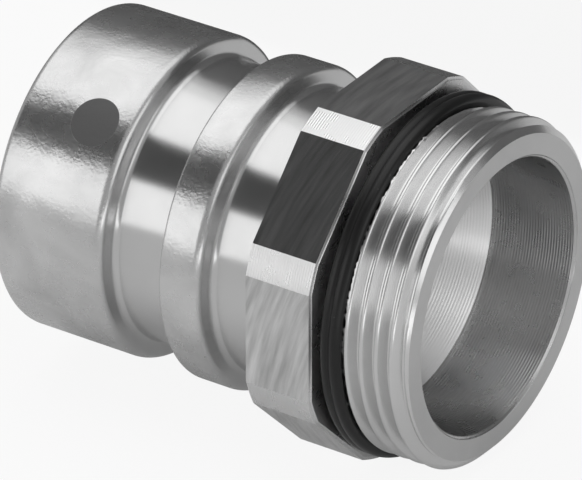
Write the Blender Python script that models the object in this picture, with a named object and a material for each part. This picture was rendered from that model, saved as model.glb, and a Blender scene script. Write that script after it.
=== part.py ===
# Press fitting adapter: a 35 mm press socket on one side, a G 1 1/2 male thread with a
# ring seal on the other, and a milled octagon for the wrench between them.
# It lies on one flat of the octagon, its axis along X and its threaded end at +X.
import math

import bmesh
import bpy
from mathutils import Matrix, Vector

MM = 0.001
MERGE_DISTANCE = 0.000001
SHARP_ANGLE = math.radians(30)
ROUND_STEPS = 64
ARC_STEPS = 3
SPARE_TURNS = 2

# Sizes in millimetres. Depths run from the threaded end face into the fitting.
FIT_GAP = 0.3

THREAD_DIAMETER = 47.8
THREAD_LENGTH = 8.9
THREAD_PITCH = 2.309
THREAD_HEIGHT = 1.479
THREAD_CREST_WIDTH = 0.43
THREAD_ROOT_WIDTH = 0.34
THREAD_START = 1.08
LEAD_CHAMFER_LENGTH = 1.45
LEAD_CHAMFER_DEPTH = 1.6

UNDERCUT_DEPTH = 2.9
THREAD_SEAL_HEIGHT = 3.6
THREAD_SEAL_WIDTH = 3.2
THREAD_SEAL_CORNER = 1.1
THREAD_SEAL_PLAY = 0.95

THREADED_WALL = 4.9
MOUTH_CHAMFER = 0.4
BORE_DEPTH = 12.8
BORE_STEP = 0.45
TAPER_LENGTH = 8.2

OCTAGON_SIDES = 8
OCTAGON_SEAL_MARGIN = 0.1
OCTAGON_CORNER_HEIGHT = 1.4
OCTAGON_LENGTH = 9.95
OCTAGON_CHAMFER_LENGTH = 0.65
OCTAGON_CHAMFER_DEPTH = 1.3
OCTAGON_FOOT_RADIUS = 0.7

TUBE_DIAMETER = 35.0
TUBE_WALL = 1.5
TUBE_CLEARANCE = 0.15
TUBE_STOP_SETBACK = 4.7

NECK_WALL = 2.05
FRONT_NECK_LENGTH = 8.1
REAR_NECK_LENGTH = 8.2
SHOULDER_LENGTH = 2.3
SHOULDER_SLOPE_LENGTH = 0.45
SHOULDER_FOOT_RADIUS = 1.0
SHOULDER_TOP_RADIUS = 1.25

SOCKET_WALL = 1.5
BEAD_SIDE_WALL = 0.45
BEAD_REAR_CORNER = 0.45
BEAD_REAR_FOOT_RADIUS = 0.6
COLLAR_FRONT_WALL = 2.0
RIM_RADIUS = 1.1
RIM_LIP_WIDTH = 1.6
RIM_LIP_CLEARANCE = 0.7
RIM_LEAD_IN = 0.6

PRESS_SEAL_CORD = 2.95
PRESS_SEAL_CLEARANCE = 0.2
PRESS_SEAL_SIDES = 12
PRESS_SEAL_PLAY = 1.15
SEAL_GROOVE_CORNER = 0.9

COLLAR_RING_HEIGHT = 2.85
SEPARATOR_WIDTH = 5.4
SEPARATOR_LIP_WIDTH = 1.6
SEPARATOR_WAIST = 1.3
GRIP_RING_WIDTH = 6.4
GRIP_RING_CHAMFER = 0.9
GRIP_RING_SLIT = 3.0
GRIP_TOOTH_COUNT = 4
GRIP_TOOTH_DEPTH = 0.7

# Radii of the threaded side, each from the one before it
THREAD_RADIUS = THREAD_DIAMETER / 2
BORE_RADIUS = THREAD_RADIUS - THREADED_WALL
THREAD_ROOT_RADIUS = THREAD_RADIUS - THREAD_HEIGHT
END_FACE_RADIUS = THREAD_RADIUS - LEAD_CHAMFER_DEPTH
UNDERCUT_RADIUS = THREAD_RADIUS - UNDERCUT_DEPTH
THREAD_SEAL_INNER_RADIUS = UNDERCUT_RADIUS + FIT_GAP
THREAD_SEAL_OUTER_RADIUS = THREAD_SEAL_INNER_RADIUS + THREAD_SEAL_HEIGHT
FLAT_RADIUS = THREAD_SEAL_OUTER_RADIUS + OCTAGON_SEAL_MARGIN
BLANK_RADIUS = FLAT_RADIUS + OCTAGON_CORNER_HEIGHT

# Radii of the press side, each from the one before it
WATERWAY_RADIUS = TUBE_DIAMETER / 2 - TUBE_WALL
SOCKET_RADIUS = TUBE_DIAMETER / 2 + TUBE_CLEARANCE
NECK_RADIUS = SOCKET_RADIUS + NECK_WALL
PRESS_SEAL_INNER_RADIUS = SOCKET_RADIUS + PRESS_SEAL_CLEARANCE
SEAL_GROOVE_RADIUS = PRESS_SEAL_INNER_RADIUS + PRESS_SEAL_CORD + FIT_GAP
BEAD_RADIUS = SEAL_GROOVE_RADIUS + SOCKET_WALL
RING_INNER_RADIUS = SOCKET_RADIUS + FIT_GAP
RING_OUTER_RADIUS = RING_INNER_RADIUS + COLLAR_RING_HEIGHT
CHAMBER_RADIUS = RING_OUTER_RADIUS + FIT_GAP
COLLAR_RADIUS = CHAMBER_RADIUS + SOCKET_WALL

# Places along the axis, each from the one before it
THREAD_SEAL_FRONT = THREAD_LENGTH + FIT_GAP
OCTAGON_FRONT = THREAD_SEAL_FRONT + THREAD_SEAL_WIDTH + THREAD_SEAL_PLAY
OCTAGON_BACK = OCTAGON_FRONT + OCTAGON_LENGTH
BEAD_FOOT = OCTAGON_BACK + FRONT_NECK_LENGTH
BEAD_FRONT = BEAD_FOOT + SHOULDER_LENGTH
TUBE_STOP = BEAD_FRONT - TUBE_STOP_SETBACK
SEAL_GROOVE_FRONT = BEAD_FRONT + BEAD_SIDE_WALL
SEAL_GROOVE_BACK = SEAL_GROOVE_FRONT + PRESS_SEAL_CORD + PRESS_SEAL_PLAY
BEAD_BACK = SEAL_GROOVE_BACK + BEAD_SIDE_WALL
COLLAR_FOOT = BEAD_BACK + REAR_NECK_LENGTH
COLLAR_FRONT = COLLAR_FOOT + SHOULDER_LENGTH
CHAMBER_FRONT = COLLAR_FRONT + COLLAR_FRONT_WALL
SEPARATOR_FRONT = CHAMBER_FRONT + FIT_GAP
GRIP_RING_FRONT = SEPARATOR_FRONT + SEPARATOR_WIDTH + FIT_GAP
CHAMBER_BACK = GRIP_RING_FRONT + GRIP_RING_WIDTH + FIT_GAP
PRESS_END = CHAMBER_BACK + RIM_LIP_WIDTH

STAINLESS = ("stainless_steel", (0.60, 0.60, 0.60), 0.28, 1.0)
SPRING_STEEL = ("spring_steel", (0.45, 0.45, 0.45), 0.35, 1.0)
SEAL_RUBBER = ("seal_rubber", (0.018, 0.018, 0.018), 0.45, 0.0)
SEPARATOR_PLASTIC = ("separator_plastic", (0.10, 0.10, 0.10), 0.50, 0.0)


def clear_scene():
    for item in list(bpy.data.objects):
        bpy.data.objects.remove(item, do_unlink=True)


def make_material(finish):
    name, colour, roughness, metallic = finish
    material = bpy.data.materials.get(name)
    if material is None:
        material = bpy.data.materials.new(name)
        material.use_nodes = True
        shader = material.node_tree.nodes["Principled BSDF"]
        shader.inputs["Base Color"].default_value = (*colour, 1.0)
        shader.inputs["Roughness"].default_value = roughness
        shader.inputs["Metallic"].default_value = metallic
    return material


def rounded_outline(corners, steps=ARC_STEPS):
    """Closed outline through corners (depth, radius, rounding), each rounded by its own arc."""
    outline = []
    count = len(corners)
    for index, (depth, radius, rounding) in enumerate(corners):
        here = Vector((depth, radius))
        if rounding == 0:
            outline.append(here)
            continue
        before = Vector(corners[index - 1][:2])
        after = Vector(corners[(index + 1) % count][:2])
        back = (before - here).normalized()
        ahead = (after - here).normalized()
        half_angle = back.angle(ahead) / 2
        reach = rounding / math.tan(half_angle)
        centre = here + (back + ahead).normalized() * (rounding / math.sin(half_angle))
        start = here + back * reach - centre
        finish = here + ahead * reach - centre
        sweep = start.angle_signed(finish)
        for step in range(steps + 1):
            turn = Matrix.Rotation(-sweep * step / steps, 2)
            outline.append(centre + turn @ start)
    return outline


def section_points(shape, outline):
    return [shape.verts.new((radius * MM, 0.0, depth * MM)) for depth, radius in outline]


def spin_round(shape, points, edges, rise=0.0):
    """Sweeps a section once round the local Z axis while it moves along it by rise."""
    bmesh.ops.spin(shape, geom=points + edges, cent=(0.0, 0.0, 0.0), axis=(0.0, 0.0, 1.0),
                   dvec=(0.0, 0.0, rise * MM / ROUND_STEPS), angle=2 * math.pi, steps=ROUND_STEPS)


def smooth_mesh(shape, name):
    """Merges the seams, turns the faces outwards and shades the round stretches smooth."""
    bmesh.ops.remove_doubles(shape, verts=shape.verts, dist=MERGE_DISTANCE)
    bmesh.ops.recalc_face_normals(shape, faces=shape.faces)
    mesh = bpy.data.meshes.new(name)
    shape.to_mesh(mesh)
    shape.free()
    mesh.shade_smooth()
    mesh.set_sharp_from_angle(angle=SHARP_ANGLE)
    return mesh


def turned_mesh(name, outline):
    """Solid of revolution about the local Z axis."""
    shape = bmesh.new()
    points = section_points(shape, outline)
    edges = [shape.edges.new(pair) for pair in zip(points, points[1:] + points[:1])]
    spin_round(shape, points, edges)
    return smooth_mesh(shape, name)


def split_ring_mesh(name, outline, opening):
    """Solid of revolution about the local Z axis with a gap; opening is the arc left out, in radians."""
    shape = bmesh.new()
    points = section_points(shape, outline)
    section = shape.faces.new(points)
    centre = (0.0, 0.0, 0.0)
    half_turn = Matrix.Rotation(opening / 2, 3, "Z")
    bmesh.ops.rotate(shape, verts=points, cent=centre, matrix=half_turn)
    geometry = [section] + list(section.edges) + points
    bmesh.ops.spin(shape, geom=geometry, cent=centre, axis=(0.0, 0.0, 1.0), angle=2 * math.pi - opening,
                   steps=ROUND_STEPS)
    return smooth_mesh(shape, name)


def add_piece(name, mesh, finish, frame, depth=0.0):
    """Puts a mesh on the fitting's axis at a depth, with its material."""
    piece = bpy.data.objects.new(name, mesh)
    bpy.context.scene.collection.objects.link(piece)
    mesh.materials.append(make_material(finish))
    piece.parent = frame
    piece.location = (0.0, 0.0, depth * MM)
    return piece


def add_axis_frame():
    """Empty on the threaded end face; its Z axis runs into the fitting and its X axis up."""
    frame = bpy.data.objects.new("fitting_axis", None)
    bpy.context.scene.collection.objects.link(frame)
    frame.location = (PRESS_END / 2 * MM, 0.0, FLAT_RADIUS * MM)
    frame.rotation_euler = (0.0, -math.pi / 2, 0.0)
    return frame


def shoulder(foot_depth, top_radius):
    """Rising curve from the neck to a bead or the collar."""
    foot_share = SHOULDER_FOOT_RADIUS / (SHOULDER_FOOT_RADIUS + SHOULDER_TOP_RADIUS)
    slope_middle = foot_depth + SHOULDER_LENGTH * foot_share
    return [
        (slope_middle - SHOULDER_SLOPE_LENGTH / 2, NECK_RADIUS, SHOULDER_FOOT_RADIUS),
        (slope_middle + SHOULDER_SLOPE_LENGTH / 2, top_radius, SHOULDER_TOP_RADIUS),
    ]


def body_outside():
    """Corners from the end of the thread to the press end."""
    return [
        (THREAD_LENGTH, UNDERCUT_RADIUS, 0),
        (OCTAGON_FRONT, UNDERCUT_RADIUS, 0),
        (OCTAGON_FRONT, BLANK_RADIUS - OCTAGON_CHAMFER_DEPTH, 0),
        (OCTAGON_FRONT + OCTAGON_CHAMFER_LENGTH, BLANK_RADIUS, 0),
        (OCTAGON_BACK, BLANK_RADIUS, 0),
        (OCTAGON_BACK, NECK_RADIUS, OCTAGON_FOOT_RADIUS),
        *shoulder(BEAD_FOOT, BEAD_RADIUS),
        (BEAD_BACK, BEAD_RADIUS, BEAD_REAR_CORNER),
        (BEAD_BACK, NECK_RADIUS, BEAD_REAR_FOOT_RADIUS),
        *shoulder(COLLAR_FOOT, COLLAR_RADIUS),
        (PRESS_END, COLLAR_RADIUS, RIM_RADIUS),
    ]


def body_inside():
    """Corners from the press end through the waterway to the threaded end face."""
    lip_radius = SOCKET_RADIUS + RIM_LIP_CLEARANCE
    return [
        (PRESS_END, lip_radius + RIM_LEAD_IN, 0),
        (PRESS_END - RIM_LEAD_IN, lip_radius, 0),
        (CHAMBER_BACK, lip_radius, 0),
        (CHAMBER_BACK, CHAMBER_RADIUS, 0),
        (CHAMBER_FRONT, CHAMBER_RADIUS, 0),
        (CHAMBER_FRONT, SOCKET_RADIUS, 0),
        (SEAL_GROOVE_BACK, SOCKET_RADIUS, 0),
        (SEAL_GROOVE_BACK, SEAL_GROOVE_RADIUS, SEAL_GROOVE_CORNER),
        (SEAL_GROOVE_FRONT, SEAL_GROOVE_RADIUS, SEAL_GROOVE_CORNER),
        (SEAL_GROOVE_FRONT, SOCKET_RADIUS, 0),
        (TUBE_STOP, SOCKET_RADIUS, 0),
        (TUBE_STOP, WATERWAY_RADIUS, 0),
        (BORE_DEPTH + TAPER_LENGTH, WATERWAY_RADIUS, 0),
        (BORE_DEPTH, BORE_RADIUS - BORE_STEP, 0),
        (BORE_DEPTH, BORE_RADIUS, 0),
        (MOUTH_CHAMFER, BORE_RADIUS, 0),
        (0.0, BORE_RADIUS + MOUTH_CHAMFER, 0),
        (0.0, END_FACE_RADIUS, 0),
    ]


def thread_section():
    """Right-hand thread as (depth, radius) corners, with turns to spare past both of its ends."""
    flank_length = (THREAD_PITCH - THREAD_CREST_WIDTH - THREAD_ROOT_WIDTH) / 2
    turns = math.ceil(THREAD_LENGTH / THREAD_PITCH) + SPARE_TURNS
    depth = THREAD_START % THREAD_PITCH - SPARE_TURNS * THREAD_PITCH
    corners = []
    for _ in range(turns):
        corners.append((depth, THREAD_ROOT_RADIUS))
        depth += THREAD_ROOT_WIDTH
        corners.append((depth, THREAD_ROOT_RADIUS))
        depth += flank_length
        corners.append((depth, THREAD_RADIUS))
        depth += THREAD_CREST_WIDTH
        corners.append((depth, THREAD_RADIUS))
        depth += flank_length
    corners.append((depth, UNDERCUT_RADIUS))
    return corners


def thread_end_radius(section, turn):
    """Radius at which the thread runs into the undercut, part of a turn round the axis."""
    place = THREAD_LENGTH - turn * THREAD_PITCH
    for before, after in zip(section, section[1:]):
        if before[0] <= place <= after[0]:
            share = (place - before[0]) / (after[0] - before[0])
            return before[1] + (after[1] - before[1]) * share


def trim_thread(points, section):
    """Cuts the thread square at the end face and at the undercut, and chamfers its start."""
    chamfer_slope = LEAD_CHAMFER_DEPTH / LEAD_CHAMFER_LENGTH
    for point in points:
        depth = point.co.z / MM
        radius = math.hypot(point.co.x, point.co.y) / MM
        angle = math.atan2(point.co.y, point.co.x)
        if depth > THREAD_LENGTH:
            depth = THREAD_LENGTH
            if radius > (THREAD_ROOT_RADIUS + UNDERCUT_RADIUS) / 2:
                radius = thread_end_radius(section, angle / (2 * math.pi) % 1)
        depth = max(depth, 0.0)
        radius = min(radius, END_FACE_RADIUS + chamfer_slope * depth)
        point.co = Vector((math.cos(angle) * radius, math.sin(angle) * radius, depth)) * MM


def body_mesh():
    """Skin of the body in two sweeps: the helical thread, and all the rest as one turned outline."""
    shape = bmesh.new()
    section = thread_section()
    points = section_points(shape, section)
    edges = [shape.edges.new(pair) for pair in zip(points, points[1:])]
    spin_round(shape, points, edges, rise=THREAD_PITCH)
    trim_thread(shape.verts, section)
    points = section_points(shape, rounded_outline(body_outside() + body_inside()))
    edges = [shape.edges.new(pair) for pair in zip(points, points[1:])]
    spin_round(shape, points, edges)
    return smooth_mesh(shape, "adapter_body")


def octagon_ring(shape, flat_radius, placing):
    """Ring of eight edges round the axis, with a flat up and a flat down."""
    corner_radius = flat_radius / math.cos(math.pi / OCTAGON_SIDES) * MM
    made = bmesh.ops.create_circle(shape, segments=OCTAGON_SIDES, radius=corner_radius, matrix=placing)
    return {edge for vertex in made["verts"] for edge in vertex.link_edges}


def octagon_cutter(frame):
    """Ring with an octagonal hole, which takes the flats off the round blank and nothing else."""
    shape = bmesh.new()
    front = OCTAGON_FRONT - THREAD_SEAL_PLAY
    back = OCTAGON_BACK + FRONT_NECK_LENGTH / 2
    flats_up = Matrix.Rotation(math.pi / OCTAGON_SIDES, 4, "Z")
    placing = Matrix.Translation((0.0, 0.0, front * MM)) @ flats_up
    hole = octagon_ring(shape, FLAT_RADIUS, placing)
    rim = octagon_ring(shape, BLANK_RADIUS + OCTAGON_CORNER_HEIGHT, placing)
    front_faces = bmesh.ops.bridge_loops(shape, edges=list(hole | rim))["faces"]
    made = bmesh.ops.extrude_face_region(shape, geom=front_faces)["geom"]
    back_points = [item for item in made if isinstance(item, bmesh.types.BMVert)]
    bmesh.ops.translate(shape, verts=back_points, vec=(0.0, 0.0, (back - front) * MM))
    bmesh.ops.recalc_face_normals(shape, faces=shape.faces)
    mesh = bpy.data.meshes.new("octagon_cutter")
    shape.to_mesh(mesh)
    shape.free()
    cutter = bpy.data.objects.new("octagon_cutter", mesh)
    bpy.context.scene.collection.objects.link(cutter)
    cutter.parent = frame
    cutter.hide_render = True
    cutter.display_type = "WIRE"
    return cutter


def make_body(frame):
    body = add_piece("adapter_body", body_mesh(), STAINLESS, frame)
    flats = body.modifiers.new("milled_flats", "BOOLEAN")
    flats.operation = "DIFFERENCE"
    flats.solver = "EXACT"
    flats.object = octagon_cutter(frame)


def make_thread_seal(frame):
    outline = rounded_outline([
        (0.0, THREAD_SEAL_OUTER_RADIUS, THREAD_SEAL_CORNER),
        (THREAD_SEAL_WIDTH, THREAD_SEAL_OUTER_RADIUS, THREAD_SEAL_CORNER),
        (THREAD_SEAL_WIDTH, THREAD_SEAL_INNER_RADIUS, 0),
        (0.0, THREAD_SEAL_INNER_RADIUS, 0),
    ])
    mesh = turned_mesh("thread_seal_ring", outline)
    add_piece("thread_seal_ring", mesh, SEAL_RUBBER, frame, THREAD_SEAL_FRONT)


def make_press_seal(frame):
    cord_radius = PRESS_SEAL_CORD / 2
    outline = []
    for index in range(PRESS_SEAL_SIDES):
        angle = 2 * math.pi * index / PRESS_SEAL_SIDES
        height = PRESS_SEAL_INNER_RADIUS + cord_radius * (1 + math.cos(angle))
        outline.append((cord_radius * math.sin(angle), height))
    mesh = turned_mesh("press_seal_ring", outline)
    add_piece("press_seal_ring", mesh, SEAL_RUBBER, frame, (SEAL_GROOVE_FRONT + SEAL_GROOVE_BACK) / 2)


def make_separator(frame):
    waist_radius = RING_INNER_RADIUS + SEPARATOR_WAIST
    outline = [
        (0.0, RING_OUTER_RADIUS),
        (SEPARATOR_WIDTH, RING_OUTER_RADIUS),
        (SEPARATOR_WIDTH, RING_INNER_RADIUS),
        (SEPARATOR_WIDTH - SEPARATOR_LIP_WIDTH, RING_INNER_RADIUS),
        (SEPARATOR_WIDTH - SEPARATOR_LIP_WIDTH, waist_radius),
        (SEPARATOR_LIP_WIDTH, waist_radius),
        (SEPARATOR_LIP_WIDTH, RING_INNER_RADIUS),
        (0.0, RING_INNER_RADIUS),
    ]
    mesh = turned_mesh("separator_ring", outline)
    add_piece("separator_ring", mesh, SEPARATOR_PLASTIC, frame, SEPARATOR_FRONT)


def make_grip_ring(frame):
    """Split ring whose saw teeth point into the fitting, so that a tube slides in but not out."""
    tooth_pitch = GRIP_RING_WIDTH / GRIP_TOOTH_COUNT
    outline = [(GRIP_RING_CHAMFER, RING_OUTER_RADIUS), (GRIP_RING_WIDTH, RING_OUTER_RADIUS)]
    for tooth in range(GRIP_TOOTH_COUNT):
        edge = GRIP_RING_WIDTH - tooth * tooth_pitch
        outline.append((edge, RING_INNER_RADIUS + GRIP_TOOTH_DEPTH))
        outline.append((edge - tooth_pitch, RING_INNER_RADIUS))
    outline.append((0.0, RING_OUTER_RADIUS - GRIP_RING_CHAMFER))
    slit_angle = GRIP_RING_SLIT / RING_OUTER_RADIUS
    mesh = split_ring_mesh("grip_ring", outline, slit_angle)
    add_piece("grip_ring", mesh, SPRING_STEEL, frame, GRIP_RING_FRONT)


clear_scene()
axis_frame = add_axis_frame()
make_body(axis_frame)
make_thread_seal(axis_frame)
make_press_seal(axis_frame)
make_separator(axis_frame)
make_grip_ring(axis_frame)
bpy.context.view_layer.update()
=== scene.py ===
# Press fitting adapter: camera, light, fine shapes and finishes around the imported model.
import math
import random

import bpy
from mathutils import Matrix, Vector


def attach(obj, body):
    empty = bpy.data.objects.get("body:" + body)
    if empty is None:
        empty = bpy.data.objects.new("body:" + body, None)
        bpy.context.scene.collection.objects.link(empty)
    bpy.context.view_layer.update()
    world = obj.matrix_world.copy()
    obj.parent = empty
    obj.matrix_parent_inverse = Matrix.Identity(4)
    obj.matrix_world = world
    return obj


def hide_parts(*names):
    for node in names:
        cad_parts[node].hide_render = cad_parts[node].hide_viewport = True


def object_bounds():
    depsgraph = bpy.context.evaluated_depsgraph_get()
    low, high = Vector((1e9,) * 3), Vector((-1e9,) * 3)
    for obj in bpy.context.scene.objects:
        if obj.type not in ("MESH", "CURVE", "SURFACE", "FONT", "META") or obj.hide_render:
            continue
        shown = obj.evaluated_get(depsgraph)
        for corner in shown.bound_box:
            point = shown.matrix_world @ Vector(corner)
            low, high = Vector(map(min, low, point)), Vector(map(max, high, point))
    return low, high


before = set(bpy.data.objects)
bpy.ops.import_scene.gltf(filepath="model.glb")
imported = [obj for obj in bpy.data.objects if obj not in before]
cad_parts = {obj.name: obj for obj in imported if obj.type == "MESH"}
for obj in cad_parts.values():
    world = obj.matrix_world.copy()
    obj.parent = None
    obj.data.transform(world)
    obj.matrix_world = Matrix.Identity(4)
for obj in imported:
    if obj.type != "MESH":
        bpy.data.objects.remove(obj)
cadLow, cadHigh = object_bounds()
scene = bpy.context.scene
mm = 0.001  # the fitting's sizes are in millimetres, those of the camera and the studio in metres
frontX = cadHigh.x  # the threaded end face; depths run from it into the fitting
axisZ = (cadLow.z + cadHigh.z) / 2
tiny = 0.001  # points this close are one point
near = 0.02  # points and faces this close to a size belong to it
print("packed model loaded")


# Working helpers

def deselectAll():
    bpy.ops.object.select_all(action="DESELECT")


def selectOnly(piece):
    deselectAll()
    piece.select_set(True)
    bpy.context.view_layer.objects.active = piece


def spot(depth, radius):
    return Vector((frontX - depth * mm, 0, axisZ + radius * mm))


def radiusOf(point):
    return math.hypot(point[1], point[2] - axisZ) / mm


def depthOf(point):
    return (frontX - point[0]) / mm


def pick(piece, kind, test):
    # leaves the piece in edit mode with only the items that pass the test selected
    bpy.ops.object.mode_set(mode="EDIT")
    bpy.ops.mesh.select_mode(type=kind)
    bpy.ops.mesh.select_all(action="DESELECT")
    bpy.ops.object.mode_set(mode="OBJECT")
    items = {"VERT": piece.data.vertices, "EDGE": piece.data.edges, "FACE": piece.data.polygons}[kind]
    for item in items:
        item.select = test(item)
    bpy.ops.object.mode_set(mode="EDIT")


def traceProfile(name, points):
    # a single point, pulled along from corner to corner
    deselectAll()
    bpy.ops.mesh.primitive_plane_add(size=mm, location=spot(*points[0]))
    piece = bpy.context.object
    piece.name = name
    piece.data.name = name
    bpy.ops.object.transform_apply(location=True, rotation=False, scale=False)
    bpy.ops.object.mode_set(mode="EDIT")
    bpy.ops.mesh.select_mode(type="VERT")
    bpy.ops.mesh.merge(type="CENTER")
    for before, after in zip(points, points[1:]):
        step = spot(*after) - spot(*before)
        bpy.ops.mesh.extrude_region_move(TRANSFORM_OT_translate={"value": step})
    return piece


def turnPiece(name, corners, sides=360, arcSteps=6):
    # a closed section of (depth, radius, rounding) corners, rounded and spun round the axis
    piece = traceProfile(name, [corner[:2] for corner in corners])
    bpy.ops.mesh.select_all(action="SELECT")
    bpy.ops.mesh.edge_face_add()
    places = [spot(*corner[:2]) for corner in corners]
    for index, (depth, radius, rounding) in enumerate(corners):
        if rounding == 0:
            continue
        back = places[index - 1] - places[index]
        ahead = places[(index + 1) % len(corners)] - places[index]
        reach = rounding / math.tan(back.angle(ahead) / 2)
        pick(piece, "VERT", lambda vertex: (vertex.co - places[index]).length < tiny * mm)
        bpy.ops.mesh.bevel(affect="VERTICES", offset=reach * mm, segments=arcSteps, clamp_overlap=False)
    bpy.ops.mesh.select_all(action="SELECT")
    bpy.ops.mesh.delete(type="ONLY_FACE")
    bpy.ops.mesh.select_all(action="SELECT")
    bpy.ops.mesh.spin(steps=sides, angle=math.tau, center=(0, 0, axisZ), axis=(1, 0, 0))
    bpy.ops.mesh.select_all(action="SELECT")
    bpy.ops.mesh.remove_doubles(threshold=2 * tiny * mm)
    bpy.ops.mesh.normals_make_consistent(inside=False)
    bpy.ops.object.mode_set(mode="OBJECT")
    return piece


def cutWith(piece, tool, operation):
    # the tool is used up by the cut
    selectOnly(piece)
    cut = piece.modifiers.new("cut", "BOOLEAN")
    cut.operation = operation
    cut.solver = "EXACT"
    cut.object = tool
    bpy.ops.object.modifier_apply(modifier=cut.name)
    bpy.data.objects.remove(tool)


def smoothShade(piece, angle):
    selectOnly(piece)
    bpy.ops.object.shade_smooth_by_angle(angle=math.radians(angle))


def finishPiece(piece, node, slot, *finishes):
    piece.data.materials.clear()
    for finish in finishes:
        piece.data.materials.append(finish)
    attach(piece, "root")
    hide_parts(node)


# Node helpers

def newMaterial(name):
    material = bpy.data.materials.new(name)
    material.use_nodes = True
    nodes = material.node_tree.nodes
    return material, nodes, material.node_tree.links, nodes["Principled BSDF"]


def addNode(nodes, links, kind, settings=None, inputs=None):
    # inputs may hold plain values or the output sockets of other nodes
    node = nodes.new(kind)
    for name, value in (settings or {}).items():
        setattr(node, name, value)
    for name, value in (inputs or {}).items():
        if isinstance(value, bpy.types.NodeSocket):
            links.new(value, node.inputs[name])
        else:
            node.inputs[name].default_value = value
    return node


def axisCoordinates(nodes, links):
    # Object coordinates, moved so that the fitting's axis is the X axis and the threaded end is 0
    place = nodes.new("ShaderNodeTexCoord").outputs["Object"]
    mapping = addNode(nodes, links, "ShaderNodeMapping",
                      inputs={"Vector": place, "Location": (-frontX, 0, -axisZ)})
    return mapping.outputs["Vector"]


# Camera

cameraSettings = {
    "lookAt": (0.00787, -0.01194, 0.03152),
    "azimuth": 33.4,
    "elevation": 29.8,
    "distance": 0.8762,
    "lens": 415.2,
    "sensor": 36,
    "nearest": 0.01,
    "farthest": 50,
}


def makeCamera(settings):
    azimuth = math.radians(settings["azimuth"])
    elevation = math.radians(settings["elevation"])
    back = Vector((math.sin(azimuth) * math.cos(elevation), -math.cos(azimuth) * math.cos(elevation),
                   math.sin(elevation)))
    place = Vector(settings["lookAt"]) + back * settings["distance"]
    deselectAll()
    bpy.ops.object.camera_add(location=place, rotation=(math.pi / 2 - elevation, 0, azimuth))
    camera = bpy.context.object
    camera.data.lens = settings["lens"]
    camera.data.sensor_width = settings["sensor"]
    camera.data.clip_start = settings["nearest"]
    camera.data.clip_end = settings["farthest"]
    scene.camera = camera


makeCamera(cameraSettings)
print("camera placed")


# Body behind the thread: octagon, necks, seal bead, collar and everything inside

bodySizes = {
    "undercutRadius": 21.0,
    "octagonFront": 13.35,
    "octagonBack": 23.3,
    "flatRadius": 25.0,
    "cornerRadius": 26.25,
    "breakWidth": 0.45,
    "breakLength": 0.225,
    "neckRadius": 19.7,
    "beadFoot": 31.4,
    "beadFront": 33.7,
    "beadBack": 38.7,
    "collarFoot": 46.9,
    "collarFront": 49.2,
    "pressEnd": 65.5,
    "collarRadius": 22.6,
    "rimRadius": 1.1,
    "shoulderSlope": 0.45,
    "shoulderFoot": 1.0,
    "shoulderTop": 1.25,
    "socketRadius": 17.65,
    "waterwayRadius": 16.0,
    "boreRadius": 19.0,
    "boreDepth": 12.8,
    "stepRadius": 18.55,
    "taperEnd": 21.0,
    "tubeStop": 29.0,
    "grooveRadius": 21.1,
    "grooveFront": 34.15,
    "grooveBack": 38.25,
    "chamberFront": 51.2,
    "chamberBack": 63.9,
    "lipRadius": 18.35,
    "lipLeadIn": 0.6,
    "edge": 0.08,  # rounding of the plain edges; the next ones are roundings too
    "octagonFillet": 0.7,
    "beadEdge": 0.45,
    "beadFillet": 0.6,
    "chamberFillet": 0.2,
    "grooveFillet": 0.9,
    "stopEdge": 0.15,
    "taperFillet": 0.3,
    "smoothAngle": 16,
}


def shoulder(sizes, foot, front):
    # rising curve from a neck to the bead or the collar
    share = sizes["shoulderFoot"] / (sizes["shoulderFoot"] + sizes["shoulderTop"])
    middle = foot + (front - foot) * share
    half = sizes["shoulderSlope"] / 2
    return [(middle - half, sizes["neckRadius"], sizes["shoulderFoot"]),
            (middle + half, sizes["collarRadius"], sizes["shoulderTop"])]


def makeBody(sizes):
    outside = [
        (sizes["octagonFront"], sizes["undercutRadius"], 0),
        (sizes["octagonFront"], sizes["cornerRadius"], 0),
        (sizes["octagonBack"], sizes["cornerRadius"], sizes["edge"]),
        (sizes["octagonBack"], sizes["neckRadius"], sizes["octagonFillet"]),
        *shoulder(sizes, sizes["beadFoot"], sizes["beadFront"]),
        (sizes["beadBack"], sizes["collarRadius"], sizes["beadEdge"]),
        (sizes["beadBack"], sizes["neckRadius"], sizes["beadFillet"]),
        *shoulder(sizes, sizes["collarFoot"], sizes["collarFront"]),
        (sizes["pressEnd"], sizes["collarRadius"], sizes["rimRadius"]),
    ]
    inside = [
        (sizes["pressEnd"], sizes["lipRadius"] + sizes["lipLeadIn"], sizes["edge"]),
        (sizes["pressEnd"] - sizes["lipLeadIn"], sizes["lipRadius"], sizes["edge"]),
        (sizes["chamberBack"], sizes["lipRadius"], sizes["edge"]),
        (sizes["chamberBack"], sizes["grooveRadius"], sizes["chamberFillet"]),
        (sizes["chamberFront"], sizes["grooveRadius"], sizes["chamberFillet"]),
        (sizes["chamberFront"], sizes["socketRadius"], sizes["edge"]),
        (sizes["grooveBack"], sizes["socketRadius"], sizes["edge"]),
        (sizes["grooveBack"], sizes["grooveRadius"], sizes["grooveFillet"]),
        (sizes["grooveFront"], sizes["grooveRadius"], sizes["grooveFillet"]),
        (sizes["grooveFront"], sizes["socketRadius"], sizes["edge"]),
        (sizes["tubeStop"], sizes["socketRadius"], sizes["stopEdge"]),
        (sizes["tubeStop"], sizes["waterwayRadius"], sizes["edge"]),
        (sizes["taperEnd"], sizes["waterwayRadius"], sizes["taperFillet"]),
        (sizes["boreDepth"], sizes["stepRadius"], sizes["edge"]),
        (sizes["boreDepth"], sizes["boreRadius"], 0),
    ]
    body = turnPiece("adapterBody", outside + inside)
    millFlats(body, sizes)
    breakFrontEdge(body, sizes)
    smoothShade(body, sizes["smoothAngle"])
    return body


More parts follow.
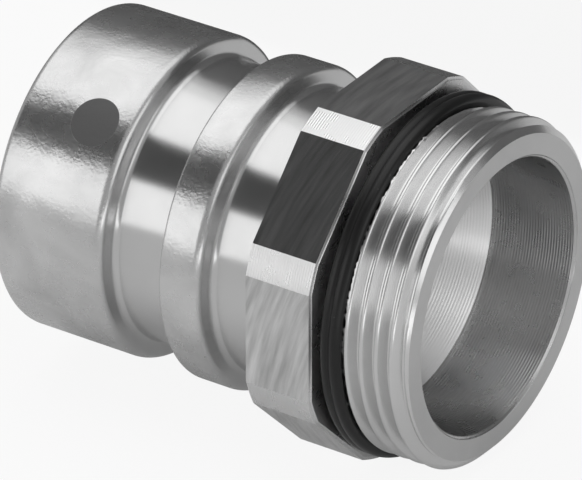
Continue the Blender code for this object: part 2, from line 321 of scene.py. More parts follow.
def millFlats(body, sizes):
    # an octagonal bar trims the round blank to its eight flats
    deselectAll()
    half = math.pi / 8
    bpy.ops.mesh.primitive_cylinder_add(
        vertices=8, radius=sizes["flatRadius"] / math.cos(half) * mm, depth=sizes["pressEnd"] * 2 * mm,
        location=spot(sizes["pressEnd"] / 2, 0), rotation=(0, math.pi / 2, 0))
    bar = bpy.context.object
    bpy.ops.transform.rotate(value=half, orient_axis="X", center_override=bar.location)
    cutWith(body, bar, "INTERSECT")


def breakFrontEdge(body, sizes):
    # a narrow chamfer along the octagon's front outline, over flats and corner strips alike
    vertices = body.data.vertices
    outline = sizes["flatRadius"] - near

    def onOutline(vertex):
        inPlane = abs(depthOf(vertex.co) - sizes["octagonFront"]) < 2 * tiny
        return inPlane and radiusOf(vertex.co) > outline

    pick(body, "EDGE", lambda edge: all(onOutline(vertices[index]) for index in edge.vertices))
    bpy.ops.mesh.bevel(affect="EDGES", offset=sizes["breakWidth"] * mm, segments=1, clamp_overlap=False)
    bpy.ops.object.mode_set(mode="OBJECT")
    for vertex in vertices:
        behind = abs(depthOf(vertex.co) - sizes["octagonFront"] - sizes["breakWidth"]) < near
        if behind and radiusOf(vertex.co) > outline:
            vertex.co.x = frontX - (sizes["octagonFront"] + sizes["breakLength"]) * mm


body = makeBody(bodySizes)
print("body made", len(body.data.polygons))


# Threaded end: helical thread, end face, bore and undercut

threadSizes = {
    "pitch": 2.309,
    "crestRadius": 23.9,
    "rootRadius": 22.42,
    "flankLength": 0.77,
    "flankSteps": 6,
    "rootHalf": 0.17,
    "rootRound": 0.14,
    "crestRound": 0.34,
    "roundSteps": 5,
    "phase": 1.25,
    "turnsAhead": 2,
    "turns": 7,
    "stepsPerTurn": 540,
    "endRadius": 22.3,
    "leadLength": 1.45,
    "leadDepth": 1.6,
    "threadEnd": 8.95,
    "snap": 0.004,
    "burrs": 150,
    "burrLength": 0.6,
    "burrPower": 1.5,  # a higher power leaves fewer long ones
    "burrSeed": 7,
    "mouthChamfer": 0.4,
    "smoothAngle": 40,
}


def roundCorner(before, corner, after, rounding, steps):
    # points of the arc that rounds a corner
    corner = Vector(corner)
    back = (Vector(before) - corner).normalized()
    ahead = (Vector(after) - corner).normalized()
    half = back.angle(ahead) / 2
    centre = corner + (back + ahead).normalized() * (rounding / math.sin(half))
    first = corner + back * (rounding / math.tan(half)) - centre
    last = corner + ahead * (rounding / math.tan(half)) - centre
    sweep = first.angle(last)
    points = []
    for step in range(steps + 1):
        share = step / steps
        towards = first * math.sin((1 - share) * sweep) + last * math.sin(share * sweep)
        points.append(tuple(centre + towards / math.sin(sweep)))
    return points


def threadProfile(sizes):
    # one pitch, root middle to root middle, as (depth, radius): front flank, round crest, rear flank
    low, high, steps = sizes["rootRadius"], sizes["crestRadius"], sizes["roundSteps"]
    frontFoot = (sizes["rootHalf"], low)
    frontTop = (sizes["rootHalf"] + sizes["flankLength"], high)
    rearTop = (sizes["pitch"] - frontTop[0], high)
    rearFoot = (sizes["pitch"] - frontFoot[0], low)
    rise = roundCorner((0, low), frontFoot, frontTop, sizes["rootRound"], steps)
    crest = roundCorner(frontFoot, frontTop, rearTop, sizes["crestRound"], steps)
    crest += roundCorner(frontTop, rearTop, rearFoot, sizes["crestRound"], steps)
    fall = roundCorner(rearTop, rearFoot, (sizes["pitch"], low), sizes["rootRound"], steps)

    def between(start, finish):
        # points along a flank, without its two ends
        count = sizes["flankSteps"]
        return [(start[0] + (finish[0] - start[0]) * step / count,
                 start[1] + (finish[1] - start[1]) * step / count) for step in range(1, count)]

    return [(0, low), *rise, *between(rise[-1], crest[0]), *crest, *between(crest[-1], fall[0]), *fall,
            (sizes["pitch"], low)]


def burrLengths(sizes):
    # how far each little burr on the thread's last edge stands out
    draw = random.Random(sizes["burrSeed"])
    return [draw.random() ** sizes["burrPower"] * sizes["burrLength"] for _ in range(sizes["burrs"])]


def threadRadius(sizes, profile, depth, angle):
    # radius of the helical surface at a depth and an angle round the axis
    turned = (math.pi / 2 - angle) / math.tau
    along = (depth - sizes["phase"] - turned * sizes["pitch"]) % sizes["pitch"]
    for (startDepth, startRadius), (endDepth, endRadius) in zip(profile, profile[1:]):
        if along <= endDepth:
            rise = (endRadius - startRadius) * (along - startDepth) / (endDepth - startDepth)
            return startRadius + rise
    return profile[-1][1]


def setPlace(vertex, depth, radius):
    angle = math.atan2(vertex.co.z - axisZ, vertex.co.y)
    vertex.co = spot(depth, 0) + Vector((0, math.cos(angle), math.sin(angle))) * radius * mm


def trimThread(thread, sizes, profile):
    # both ends are cut square, and the lead-in chamfer takes the tops off the first turns
    burrs = burrLengths(sizes)
    for vertex in thread.data.vertices:
        depth, radius = depthOf(vertex.co), radiusOf(vertex.co)
        if depth > sizes["threadEnd"] - sizes["snap"]:
            angle = math.atan2(vertex.co.z - axisZ, vertex.co.y)
            radius = threadRadius(sizes, profile, sizes["threadEnd"], angle)
            step = round(angle / math.tau * sizes["stepsPerTurn"]) % sizes["stepsPerTurn"]
            place = step * sizes["burrs"] / sizes["stepsPerTurn"]
            height = max(0, (radius - sizes["rootRadius"]) / (sizes["crestRadius"] - sizes["rootRadius"]))
            depth = sizes["threadEnd"] + burrs[int(place) % sizes["burrs"]] * (1 - place % 1) * height
        depth = depth if depth > sizes["snap"] else 0
        chamfer = sizes["endRadius"] + depth / sizes["leadLength"] * sizes["leadDepth"]
        setPlace(vertex, depth, min(radius, chamfer))


def closeThread(thread, sizes, bodyShape):
    # undercut behind the thread; end face, mouth chamfer and bore from the front, back to the undercut
    mouth, bore, slack = sizes["mouthChamfer"], bodyShape["boreRadius"], tiny / 2
    joint = (bodyShape["octagonFront"], bodyShape["undercutRadius"])
    behind = [(sizes["threadEnd"], bodyShape["undercutRadius"]), joint]
    ahead = [(0, bore + mouth), (mouth, bore), (bodyShape["boreDepth"], bore), joint]
    rearEnd = (sizes["threadEnd"], sizes["burrLength"], behind)
    frontEnd = (0, 0, ahead)
    for startDepth, spare, corners in (rearEnd, frontEnd):
        pick(thread, "VERT", lambda vertex: -slack < depthOf(vertex.co) - startDepth < spare + slack)
        for depth, radius in corners:
            bpy.ops.mesh.extrude_region_move(TRANSFORM_OT_translate={"value": (0, 0, 0)})
            bpy.ops.object.mode_set(mode="OBJECT")
            for vertex in thread.data.vertices:
                if vertex.select:
                    setPlace(vertex, depth, radius)
            bpy.ops.object.mode_set(mode="EDIT")
    bpy.ops.mesh.select_all(action="SELECT")
    bpy.ops.mesh.remove_doubles(threshold=tiny * mm)
    bpy.ops.mesh.normals_make_consistent(inside=False)
    bpy.ops.object.mode_set(mode="OBJECT")


def makeThread(sizes, bodyShape):
    profile = threadProfile(sizes)
    first = sizes["phase"] - sizes["turnsAhead"] * sizes["pitch"]
    thread = traceProfile("threadedEnd", [(first + depth, radius) for depth, radius in profile])
    bpy.ops.object.mode_set(mode="OBJECT")
    # the screw turns about the object's own X axis, so the origin goes onto the fitting's axis and back
    scene.cursor.location = (0, 0, axisZ)
    bpy.ops.object.origin_set(type="ORIGIN_CURSOR")
    turning = thread.modifiers.new("turning", "SCREW")
    turning.axis = "X"
    turning.angle = -math.tau
    turning.screw_offset = -sizes["pitch"] * mm
    turning.iterations = sizes["turns"]
    turning.steps = sizes["stepsPerTurn"]
    turning.render_steps = sizes["stepsPerTurn"]
    bpy.ops.object.modifier_apply(modifier=turning.name)
    bpy.ops.object.transform_apply(location=True, rotation=False, scale=False)
    trimThread(thread, sizes, profile)
    bpy.ops.object.mode_set(mode="EDIT")
    bpy.ops.mesh.select_all(action="SELECT")
    bpy.ops.mesh.remove_doubles(threshold=tiny * mm)
    closeThread(thread, sizes, bodyShape)
    smoothShade(thread, sizes["smoothAngle"])
    return thread


thread = makeThread(threadSizes, bodySizes)
print("thread made", len(thread.data.polygons))


# Rings

sealSizes = {"front": 9.2, "width": 3.2, "inner": 21.3, "outer": 24.88, "lobe": 1.0, "lobeSteps": 12,
             "footRound": 0.4, "smoothAngle": 50}


def makeThreadSeal(sizes):
    # two round lobes side by side on one foot
    front, back, lobe = sizes["front"], sizes["front"] + sizes["width"], sizes["lobe"]
    meeting = math.asin((sizes["width"] / 2 - lobe) / lobe)

    def arc(centre, start, finish):
        count = sizes["lobeSteps"]
        turns = [start + (finish - start) * step / count for step in range(count + 1)]
        return [(centre + lobe * math.sin(turn), sizes["outer"] + lobe * (math.cos(turn) - 1), 0)
                for turn in turns]

    frontLobe = arc(front + lobe, -math.pi / 2, meeting)
    backLobe = arc(back - lobe, -meeting, math.pi / 2)
    frontFoot = (front, sizes["inner"], sizes["footRound"])
    backFoot = (back, sizes["inner"], sizes["footRound"])
    seal = turnPiece("threadSeal", [frontFoot, *frontLobe, *backLobe[1:], backFoot])
    smoothShade(seal, sizes["smoothAngle"])
    return seal


pressSealSizes = {"middle": 36.2, "inner": 17.85, "cord": 2.95, "sides": 240, "cordSides": 32,
                  "smoothAngle": 60}


def makePressSeal(sizes):
    # a plain O-ring
    half = sizes["cord"] / 2
    deselectAll()
    bpy.ops.mesh.primitive_torus_add(
        major_segments=sizes["sides"], minor_segments=sizes["cordSides"],
        major_radius=(sizes["inner"] + half) * mm, minor_radius=half * mm,
        location=spot(sizes["middle"], 0), rotation=(0, math.pi / 2, 0))
    seal = bpy.context.object
    seal.name = seal.data.name = "pressSeal"
    bpy.ops.object.transform_apply(location=True, rotation=True, scale=False)
    smoothShade(seal, sizes["smoothAngle"])
    return seal


separatorSizes = {"front": 51.5, "width": 5.4, "inner": 17.95, "outer": 20.8, "lip": 1.6, "waist": 1.3,
                  "outerRound": 0.15, "innerRound": 0.25, "lipRound": 0.2, "sides": 240, "arcSteps": 3,
                  "smoothAngle": 40}


def makeSeparator(sizes):
    # a band with two lips that look at the tube
    front, back, lip = sizes["front"], sizes["front"] + sizes["width"], sizes["lip"]
    inner, outer, waist = sizes["inner"], sizes["outer"], sizes["inner"] + sizes["waist"]
    corners = [
        (front, outer, sizes["outerRound"]),
        (back, outer, sizes["outerRound"]),
        (back, inner, sizes["innerRound"]),
        (back - lip, inner, sizes["lipRound"]),
        (back - lip, waist, sizes["lipRound"]),
        (front + lip, waist, sizes["lipRound"]),
        (front + lip, inner, sizes["lipRound"]),
        (front, inner, sizes["innerRound"]),
    ]
    separator = turnPiece("separator", corners, sides=sizes["sides"], arcSteps=sizes["arcSteps"])
    smoothShade(separator, sizes["smoothAngle"])
    return separator


gripSizes = {"front": 57.2, "width": 6.4, "inner": 17.95, "outer": 20.8, "teeth": 4, "tooth": 0.7,
             "chamfer": 0.9, "slit": 3.0, "edge": 0.1, "toothFoot": 0.05, "toothTip": 0.03, "sides": 240,
             "arcSteps": 3, "smoothAngle": 30}


def makeGripRing(sizes):
    # a split ring with saw teeth on its inner side
    pitch = sizes["width"] / sizes["teeth"]
    front, back = sizes["front"], sizes["front"] + sizes["width"]
    inner, outer, chamfer = sizes["inner"], sizes["outer"], sizes["chamfer"]
    corners = [(front + chamfer, outer, sizes["edge"]), (back, outer, sizes["edge"])]
    for tooth in range(sizes["teeth"]):
        edge = back - tooth * pitch
        corners.append((edge, inner + sizes["tooth"], sizes["toothFoot"]))
        corners.append((edge - pitch, inner, sizes["toothTip"]))
    corners.append((front, outer - chamfer, sizes["edge"]))
    grip = turnPiece("gripRing", corners, sides=sizes["sides"], arcSteps=sizes["arcSteps"])
    deselectAll()
    bpy.ops.mesh.primitive_cube_add(size=1, location=spot(front + sizes["width"] / 2, outer),
                                    scale=(sizes["width"] * 2 * mm, sizes["slit"] * mm, outer * mm))
    cutWith(grip, bpy.context.object, "DIFFERENCE")
    smoothShade(grip, sizes["smoothAngle"])
    return grip


threadSeal = makeThreadSeal(sealSizes)
pressSeal = makePressSeal(pressSealSizes)
separator = makeSeparator(separatorSizes)
gripRing = makeGripRing(gripSizes)
print("rings made")


# Finishes

# each steel finish has its reflectance, its roughness, how far the shine spreads across the turning marks,
# the size and bump height of its mottle, waves and turning lines, and how far stains change the reflectance
collarFinish = {"tone": 0.65, "roughness": 0.27, "anisotropy": 0.55, "mottle": 0.45, "mottleBump": 0.024,
                "wave": 4.0, "waveBump": 0.08, "linePitch": 0.16, "lineBump": 0.0004, "stain": 0.3}
neckFinish = {"tone": 0.65, "roughness": 0.22, "anisotropy": 0.85, "mottle": 0.7, "mottleBump": 0.0003,
              "wave": 5.0, "waveBump": 0.006, "linePitch": 0.2, "lineBump": 0.0003, "stain": 0.06}
stripFinish = {"tone": 0.78, "roughness": 0.28, "anisotropy": 0.8, "mottle": 0.5, "mottleBump": 0.0006,
               "wave": 5.0, "waveBump": 0.004, "linePitch": 0.37, "lineBump": 0.035, "stain": 0.06}
flatFinish = {"tone": 0.6, "roughness": 0.17, "anisotropy": 0.3, "mottle": 0.6, "mottleBump": 0.0006,
              "wave": 6.0, "waveBump": 0.006, "linePitch": 0.9, "lineBump": 0.0, "stain": 0.1}
threadFinish = {"tone": 0.72, "roughness": 0.24, "anisotropy": 0.7, "mottle": 0.5, "mottleBump": 0.0006,
                "wave": 3.0, "waveBump": 0.003, "linePitch": 0.15, "lineBump": 0.0003, "stain": 0.06}
faceFinish = {"tone": 0.6, "roughness": 0.36, "anisotropy": 0.7, "mottle": 0.6, "mottleBump": 0.0008,
              "wave": 4.0, "waveBump": 0.003, "linePitch": 0.2, "lineBump": 0.0006, "stain": 0.08}
boreFinish = {"tone": 0.56, "roughness": 0.28, "anisotropy": 0.8, "mottle": 0.35, "mottleBump": 0.002,
              "wave": 4.0, "waveBump": 0.004, "linePitch": 0.42, "lineBump": 0.05, "stain": 0.15}
# the taper's tone is set far above the bore's as a painted reflection: it stands in for the bright light
# from the mouth that the lamps do not send into it
taperFinishAndPaintedShine = {"tone": 0.94, "roughness": 0.33, "anisotropy": 0.5, "mottle": 0.35, "mottleBump": 0.002,
               "wave": 4.0, "waveBump": 0.004, "linePitch": 0.4, "lineBump": 0.009, "stain": 0.03}
springFinish = {"tone": 0.45, "roughness": 0.35, "anisotropy": 0.4, "mottle": 0.6, "mottleBump": 0.0008,
                "wave": 3.0, "waveBump": 0.002, "linePitch": 0.3, "lineBump": 0.0003, "stain": 0.08}
steelPattern = {"stain": 9.0, "stainDetail": 4.0, "stainSwirl": 0.6, "patch": 2.5, "patchDetail": 3.0,
                "patchSpread": 0.15, "waveDetail": 1.0, "mottleDetail": 3.0}


def noiseAt(nodes, links, place, size, detail, distortion=0.0):
    # noise whose lumps are about so many millimetres across
    return addNode(nodes, links, "ShaderNodeTexNoise",
                   inputs={"Vector": place, "Scale": 1 / (size * mm), "Detail": detail,
                           "Distortion": distortion}).outputs["Fac"]


def mathNode(nodes, links, operation, first, second=0.5, third=0.5):
    return addNode(nodes, links, "ShaderNodeMath", {"operation": operation},
                   {0: first, 1: second, 2: third}).outputs["Value"]


def vectorNode(nodes, links, operation, inputs):
    return addNode(nodes, links, "ShaderNodeVectorMath", {"operation": operation}, inputs).outputs


def alongAxis(nodes, links, place):
    return addNode(nodes, links, "ShaderNodeSeparateXYZ", inputs={"Vector": place}).outputs["X"]


def greyNode(nodes, links, tone):
    return addNode(nodes, links, "ShaderNodeCombineColor",
                   inputs={"Red": tone, "Green": tone, "Blue": tone}).outputs["Color"]


def span(nodes, links, value, low, high):
    # a 0 to 1 value stretched to the range from low to high
    return addNode(nodes, links, "ShaderNodeMapRange",
                   inputs={"Value": value, "To Min": low, "To Max": high}).outputs["Result"]


def bump(nodes, links, height, depth, before=None):
    # height runs from 0 to 1, and depth is how deep that is in millimetres
    node = addNode(nodes, links, "ShaderNodeBump",
                   inputs={"Height": height, "Distance": depth * mm, "Strength": 1.0})
    if before:
        links.new(before, node.inputs["Normal"])
    return node.outputs["Normal"]


def ringLines(nodes, links, place, pitch):
    # rises and falls once a pitch along the axis, as turning marks do
    turns = mathNode(nodes, links, "MULTIPLY", alongAxis(nodes, links, place), math.tau / (pitch * mm))
    return mathNode(nodes, links, "MULTIPLY_ADD", mathNode(nodes, links, "SINE", turns), 0.5, 0.5)


def shineDirection(nodes, links, place):
    # the shine spreads across the turning marks, which run round the axis
    around = vectorNode(nodes, links, "CROSS_PRODUCT", {0: place, 1: (1, 0, 0)})["Vector"]
    normal = nodes.new("ShaderNodeNewGeometry").outputs["Normal"]
    return vectorNode(nodes, links, "CROSS_PRODUCT", {0: around, 1: normal})["Vector"]


def makeSteel(name, finish, pattern):
    material, nodes, links, shader = newMaterial(name)
    place = axisCoordinates(nodes, links)
    stain = noiseAt(nodes, links, place, pattern["stain"], pattern["stainDetail"], pattern["stainSwirl"])
    dark, light = finish["tone"] * (1 - finish["stain"]), finish["tone"] * (1 + finish["stain"])
    tone = span(nodes, links, stain, dark, light)
    links.new(greyNode(nodes, links, tone), shader.inputs["Base Color"])
    patches = noiseAt(nodes, links, place, pattern["patch"], pattern["patchDetail"])
    smoother = finish["roughness"] * (1 - pattern["patchSpread"])
    rougher = finish["roughness"] * (1 + pattern["patchSpread"])
    links.new(span(nodes, links, patches, smoother, rougher), shader.inputs["Roughness"])
    waves = noiseAt(nodes, links, place, finish["wave"], pattern["waveDetail"])
    mottle = noiseAt(nodes, links, place, finish["mottle"], pattern["mottleDetail"])
    lines = ringLines(nodes, links, place, finish["linePitch"])
    normal = bump(nodes, links, waves, finish["waveBump"])
    normal = bump(nodes, links, mottle, finish["mottleBump"], normal)
    normal = bump(nodes, links, lines, finish["lineBump"], normal)
    links.new(normal, shader.inputs["Normal"])
    links.new(shineDirection(nodes, links, place), shader.inputs["Tangent"])
    shader.inputs["Metallic"].default_value = 1
    shader.inputs["Anisotropic"].default_value = finish["anisotropy"]
    return material


taperSteps = {"pitch": 0.34, "slope": 0.31}


def addToolSteps(material, steps):
    # the cutter's feed marks: each climbs inwards and drops back, which turns the shine to the mouth
    nodes, links = material.node_tree.nodes, material.node_tree.links
    normal = nodes["Principled BSDF"].inputs["Normal"]
    along = alongAxis(nodes, links, axisCoordinates(nodes, links))
    inwards = mathNode(nodes, links, "MULTIPLY", along, -1 / (steps["pitch"] * mm))
    climb = mathNode(nodes, links, "FRACT", inwards)
    stepped = bump(nodes, links, climb, steps["pitch"] * steps["slope"], normal.links[0].from_socket)
    links.new(stepped, normal)


# the streaks' centre in metres from the threaded end, their width and length in millimetres
smearSettings = {"centre": (0.05, 0.0, -0.02), "width": 0.8, "length": 9.0, "detail": 3.0,
                 "strength": 0.6}


def addSmears(material, smear):
    # curved streaks that the milling cutter leaves, lighter and darker than the flat
    nodes, links = material.node_tree.nodes, material.node_tree.links
    shader = nodes["Principled BSDF"]
    place = axisCoordinates(nodes, links)
    away = vectorNode(nodes, links, "DISTANCE", {0: place, 1: smear["centre"]})["Value"]
    split = addNode(nodes, links, "ShaderNodeSeparateXYZ", inputs={"Vector": place})
    across = mathNode(nodes, links, "MULTIPLY", away, 1 / (smear["width"] * mm))
    along = mathNode(nodes, links, "MULTIPLY", split.outputs["Z"], 1 / (smear["length"] * mm))
    other = mathNode(nodes, links, "MULTIPLY", split.outputs["Y"], 1 / (smear["length"] * mm))
    streak = addNode(nodes, links, "ShaderNodeCombineXYZ", inputs={"X": across, "Y": along, "Z": other})
    noise = addNode(nodes, links, "ShaderNodeTexNoise",
                    inputs={"Vector": streak.outputs["Vector"], "Scale": 1.0, "Detail": smear["detail"]})
    share = span(nodes, links, noise.outputs["Fac"], 1 - smear["strength"], 1 + smear["strength"])
    colour = shader.inputs["Base Color"].links[0].from_socket
    scaled = vectorNode(nodes, links, "SCALE", {0: colour, "Scale": share})["Vector"]
    links.new(scaled, shader.inputs["Base Color"])


markSettings = {"depth": 53.7, "turn": 41.8, "radius": 3.45, "soft": 0.03, "tone": 0.125,
                "roughness": 0.55}
mixSockets = {"FLOAT": (2, 3, 0), "RGBA": (6, 7, 2)}  # numbers of the Mix node's two inputs and its output


def addMark(material, mark, radius):
    # the round grey check mark on the collar, which has the given radius
    nodes, links = material.node_tree.nodes, material.node_tree.links
    shader = nodes["Principled BSDF"]
    turn = math.radians(mark["turn"])
    centre = spot(mark["depth"], 0) + Vector((0, -math.sin(turn), math.cos(turn))) * radius * mm
    place = nodes.new("ShaderNodeTexCoord").outputs["Object"]
    distance = vectorNode(nodes, links, "DISTANCE", {0: place, 1: centre})["Value"]
    inside = addNode(nodes, links, "ShaderNodeMapRange",
                     inputs={"Value": distance, "From Min": mark["radius"] * mm,
                             "From Max": (mark["radius"] + mark["soft"]) * mm, "To Min": 1, "To Max": 0})
    colour = (mark["tone"],) * 3 + (1,)
    paint = {"Base Color": colour, "Roughness": mark["roughness"], "Metallic": 0.0}
    for name, value in paint.items():
        socket = shader.inputs[name]
        kind = "RGBA" if name == "Base Color" else "FLOAT"
        outer, inner, result = mixSockets[kind]
        mix = addNode(nodes, links, "ShaderNodeMix", {"data_type": kind}, {0: inside.outputs["Result"]})
        if socket.is_linked:
            links.new(socket.links[0].from_socket, mix.inputs[outer])
        else:
            mix.inputs[outer].default_value = socket.default_value
        mix.inputs[inner].default_value = value
        links.new(mix.outputs[result], socket)


rubberFinish = {"tone": 0.008, "speck": 0.04, "roughness": 0.31, "specular": 0.38, "grain": 0.5,
                "grainBump": 0.004}
plasticFinish = {"tone": 0.1, "speck": 0.12, "roughness": 0.5, "specular": 0.5, "grain": 0.35,
                 "grainBump": 0.004}
dullPattern = {"dust": 0.6, "dustDetail": 2.0, "dustFrom": 0.72, "dustTo": 0.76, "patch": 4.0,
               "patchDetail": 3.0, "smoother": 0.85, "rougher": 1.2, "grainDetail": 3.0}


def makeDull(name, finish, pattern):
    # rubber or plastic with a fine grain and a few pale specks of dust
    material, nodes, links, shader = newMaterial(name)
    place = axisCoordinates(nodes, links)
    dust = noiseAt(nodes, links, place, pattern["dust"], pattern["dustDetail"])
    tone = addNode(nodes, links, "ShaderNodeMapRange",
                   inputs={"Value": dust, "From Min": pattern["dustFrom"], "From Max": pattern["dustTo"],
                           "To Min": finish["tone"], "To Max": finish["speck"]}).outputs["Result"]
    links.new(greyNode(nodes, links, tone), shader.inputs["Base Color"])
    patches = noiseAt(nodes, links, place, pattern["patch"], pattern["patchDetail"])
    smoother = finish["roughness"] * pattern["smoother"]
    rougher = finish["roughness"] * pattern["rougher"]
    links.new(span(nodes, links, patches, smoother, rougher), shader.inputs["Roughness"])
    grain = noiseAt(nodes, links, place, finish["grain"], pattern["grainDetail"])
    links.new(bump(nodes, links, grain, finish["grainBump"]), shader.inputs["Normal"])
    shader.inputs["Specular IOR Level"].default_value = finish["specular"]
    return material


def paintFaces(piece, finish, test):
    index = piece.data.materials.find(finish.name)
    for face in piece.data.polygons:
        if test(depthOf(face.center), radiusOf(face.center), face):
            face.material_index = index


def radialSlope(face):
    # 1 where the face looks straight away from the axis, -1 where it looks at the axis
    centre = face.center
    radius = math.hypot(centre.y, centre.z - axisZ)
    return (face.normal.y * centre.y + face.normal.z * (centre.z - axisZ)) / radius


# margins in millimetres, and the slope past which a face looks inwards
finishLimits = {"belowCollar": 0.4, "edge": 0.01, "taperLip": 0.1, "inwards": -0.1}


def finishBody(body, sizes, limits, collar, neck, flat, strip, bore, taper):
    finishPiece(body, "adapter_body", "stainless_steel", collar, neck, flat, strip, bore, taper)
    neckTop = sizes["collarRadius"] - limits["belowCollar"]
    octagonFront = sizes["octagonFront"] - limits["edge"]
    octagonBack = sizes["octagonBack"] + limits["edge"]
    lip = sizes["lipRadius"] + sizes["lipLeadIn"]
    groove = sizes["grooveRadius"] + near
    taperFront = sizes["boreDepth"] + limits["taperLip"]

    def onNeck(depth, radius, face):
        return sizes["octagonBack"] < depth < sizes["collarFront"] and radius < neckTop

    def onOctagon(depth, radius, face):
        return octagonFront < depth < octagonBack

    def onFlat(depth, radius, face):
        inPlane = abs(radialSlope(face) * radius - sizes["flatRadius"]) < near
        return onOctagon(depth, radius, face) and inPlane

    def inside(depth, radius, face):
        return radius < lip or (radius < groove and radialSlope(face) < limits["inwards"])

    def onTaper(depth, radius, face):
        return taperFront < depth < sizes["taperEnd"] and radius < sizes["stepRadius"]

    paintFaces(body, neck, onNeck)
    paintFaces(body, strip, onOctagon)
    paintFaces(body, flat, onFlat)
    paintFaces(body, bore, inside)
    paintFaces(body, taper, onTaper)


def finishThread(thread, sizes, limits, bodyShape, steel, endFace, bore):
    finishPiece(thread, "adapter_body", "stainless_steel", steel, endFace, bore)
    mouth = bodyShape["boreRadius"] + sizes["mouthChamfer"]
    paintFaces(thread, endFace, lambda depth, radius, face: depth < limits["edge"])
    paintFaces(thread, bore, lambda depth, radius, face: radius < mouth and depth > limits["edge"])


collarSteel = makeSteel("collarSteel", collarFinish, steelPattern)
addMark(collarSteel, markSettings, bodySizes["collarRadius"])
neckSteel = makeSteel("neckSteel", neckFinish, steelPattern)
flatSteel = makeSteel("milledSteel", flatFinish, steelPattern)
addSmears(flatSteel, smearSettings)
stripSteel = makeSteel("turnedStripSteel", stripFinish, steelPattern)
threadSteel = makeSteel("threadSteel", threadFinish, steelPattern)
faceSteel = makeSteel("endFaceSteel", faceFinish, steelPattern)
boreSteel = makeSteel("boredSteel", boreFinish, steelPattern)
# the taper steel's raised tone is a painted reflection, not a brighter metal
taperSteelWithPaintedShine = makeSteel("taperSteelWithPaintedShine", taperFinishAndPaintedShine, steelPattern)
addToolSteps(taperSteelWithPaintedShine, taperSteps)
springSteel = makeSteel("springSteel", springFinish, steelPattern)
rubber = makeDull("sealRubber", rubberFinish, dullPattern)
plastic = makeDull("separatorPlastic", plasticFinish, dullPattern)

finishBody(body, bodySizes, finishLimits, collarSteel, neckSteel, flatSteel, stripSteel, boreSteel,
           taperSteelWithPaintedShine)
finishThread(thread, threadSizes, finishLimits, bodySizes, threadSteel, faceSteel, boreSteel)
finishPiece(threadSeal, "thread_seal_ring", "seal_rubber", rubber)
finishPiece(pressSeal, "press_seal_ring", "seal_rubber", rubber)
finishPiece(separator, "separator_ring", "separator_plastic", plastic)
finishPiece(gripRing, "grip_ring", "spring_steel", springSteel)
print("finishes made")


# Studio: pale floor, soft boxes and dark cards

# mirrored is how bright the white surroundings are in a reflection, and fill how much light they give
floorSettings = {"size": 8.0, "tone": 0.94, "roughness": 0.9, "glow": 0.9, "mirrored": 0.12}
worldSettings = {"seen": 1.0, "fill": 0.3, "mirrored": 0.15}
softBoxes = {
    "overheadBox": {"place": (-0.3, 0.035, 0.9), "facing": (-0.3, 0.035, 0.0),
                    "width": 1.4, "height": 0.73, "radiance": 0.9},
    "overheadMiddle": {"place": (-0.3, 0.51, 0.9), "facing": (-0.3, 0.51, 0.0),
                       "width": 1.4, "height": 0.22, "radiance": 0.6},
    "overheadRear": {"place": (-0.3, 0.735, 0.9), "facing": (-0.3, 0.735, 0.0),
                     "width": 1.4, "height": 0.23, "radiance": 0.2},
    "frontBox": {"place": (-0.7, -0.9, 0.31), "facing": (-0.7, 0.0, 0.31),
                 "width": 1.2, "height": 0.6, "radiance": 0.9},
    "rightPanel": {"place": (1.0, -0.1, 0.42), "facing": (0.0, -0.1, 0.42),
                   "width": 0.8, "height": 0.64, "radiance": 0.9},
    "lowPanel": {"place": (0.5, -0.42, 0.006), "facing": (0.5, -0.42, 1.0),
                 "width": 0.8, "height": 0.7, "radiance": 1.0},
}
darkCards = {
    "rearCard": {"place": (0.0, 0.85, 0.46), "facing": (0.0, 0.0, 0.46),
                 "width": 2.6, "height": 0.88, "tone": 0.24},
    "rearFloorCard": {"place": (-0.55, 0.46, 0.004), "facing": (-0.55, 0.46, -1.0),
                      "width": 1.1, "height": 0.76, "tone": 0.12},
    "frontTopCard": {"place": (-0.6, -0.615, 0.75), "facing": (-0.6, -0.395, 0.13),
                     "width": 1.5, "height": 0.563, "tone": 0.12},
}


def lightPathMask(nodes, links, mirrored):
    # 1 for what the camera or glass looks at, and the given share for what a mirror shows
    path = nodes.new("ShaderNodeLightPath").outputs
    glossy = mathNode(nodes, links, "MULTIPLY", path["Is Glossy Ray"], mirrored)
    either = mathNode(nodes, links, "MAXIMUM", path["Is Camera Ray"], glossy)
    return mathNode(nodes, links, "MAXIMUM", either, path["Is Transmission Ray"])


def makeWorld(settings):
    world = bpy.data.worlds.new("studio")
    world.use_nodes = True
    scene.world = world
    nodes, links = world.node_tree.nodes, world.node_tree.links
    mask = lightPathMask(nodes, links, settings["mirrored"])
    links.new(span(nodes, links, mask, settings["fill"], settings["seen"]),
              nodes["Background"].inputs["Strength"])
    nodes["Background"].inputs["Color"].default_value = (1, 1, 1, 1)


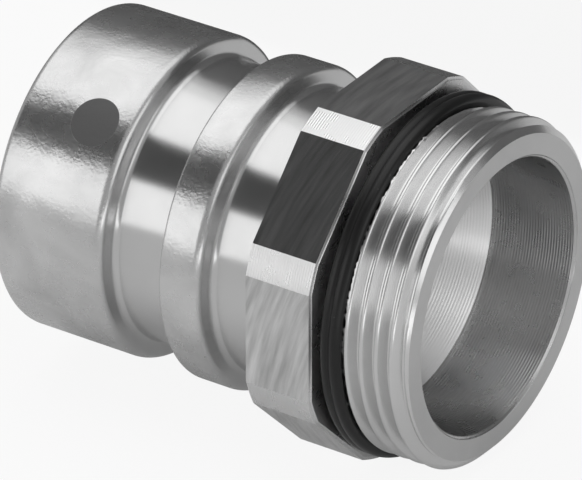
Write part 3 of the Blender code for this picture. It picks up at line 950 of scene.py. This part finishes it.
def makeFloor(settings):
    deselectAll()
    bpy.ops.mesh.primitive_plane_add(size=settings["size"], location=(0, 0, 0))
    floor = bpy.context.object
    floor.name = floor.data.name = "floor"
    material, nodes, links, shader = newMaterial("paleFloor")
    shader.inputs["Base Color"].default_value = (settings["tone"],) * 3 + (1,)
    shader.inputs["Roughness"].default_value = settings["roughness"]
    shader.inputs["Specular IOR Level"].default_value = 0.0
    glow = addNode(nodes, links, "ShaderNodeEmission", inputs={"Color": (1, 1, 1, 1), "Strength": 1.0})
    mask = lightPathMask(nodes, links, settings["mirrored"] / settings["glow"])
    share = mathNode(nodes, links, "MULTIPLY", mask, settings["glow"])
    mix = addNode(nodes, links, "ShaderNodeMixShader",
                  inputs={0: share, 1: shader.outputs["BSDF"], 2: glow.outputs["Emission"]})
    links.new(mix.outputs["Shader"], nodes["Material Output"].inputs["Surface"])
    floor.data.materials.append(material)


def facing(settings):
    towards = Vector(settings["facing"]) - Vector(settings["place"])
    return towards.to_track_quat("-Z", "Y").to_euler()


def addSoftBox(name, settings):
    # a box's power follows from its area and the radiance that its face shows
    deselectAll()
    bpy.ops.object.light_add(type="AREA", location=settings["place"], rotation=facing(settings))
    box = bpy.context.object
    box.name = box.data.name = name
    box.data.shape = "RECTANGLE"
    box.data.size = settings["width"]
    box.data.size_y = settings["height"]
    box.data.energy = settings["radiance"] * math.pi * settings["width"] * settings["height"]
    box.visible_camera = False


def addCard(name, settings):
    # a card that only reflections show, and that casts no shadow
    deselectAll()
    bpy.ops.mesh.primitive_plane_add(size=1, location=settings["place"], rotation=facing(settings))
    card = bpy.context.object
    card.name = card.data.name = name
    card.scale = (settings["width"], settings["height"], 1)
    bpy.ops.object.transform_apply(location=True, rotation=True, scale=True)
    card.visible_camera = False
    card.visible_shadow = False
    cloth, nodes, links, shader = newMaterial(name + "Cloth")
    shader.inputs["Base Color"].default_value = (settings["tone"],) * 3 + (1,)
    shader.inputs["Roughness"].default_value = 1.0
    card.data.materials.append(cloth)


makeWorld(worldSettings)
makeFloor(floorSettings)
for name, settings in softBoxes.items():
    addSoftBox(name, settings)
for name, settings in darkCards.items():
    addCard(name, settings)
scene.view_settings.view_transform = "Standard"
print("studio set")
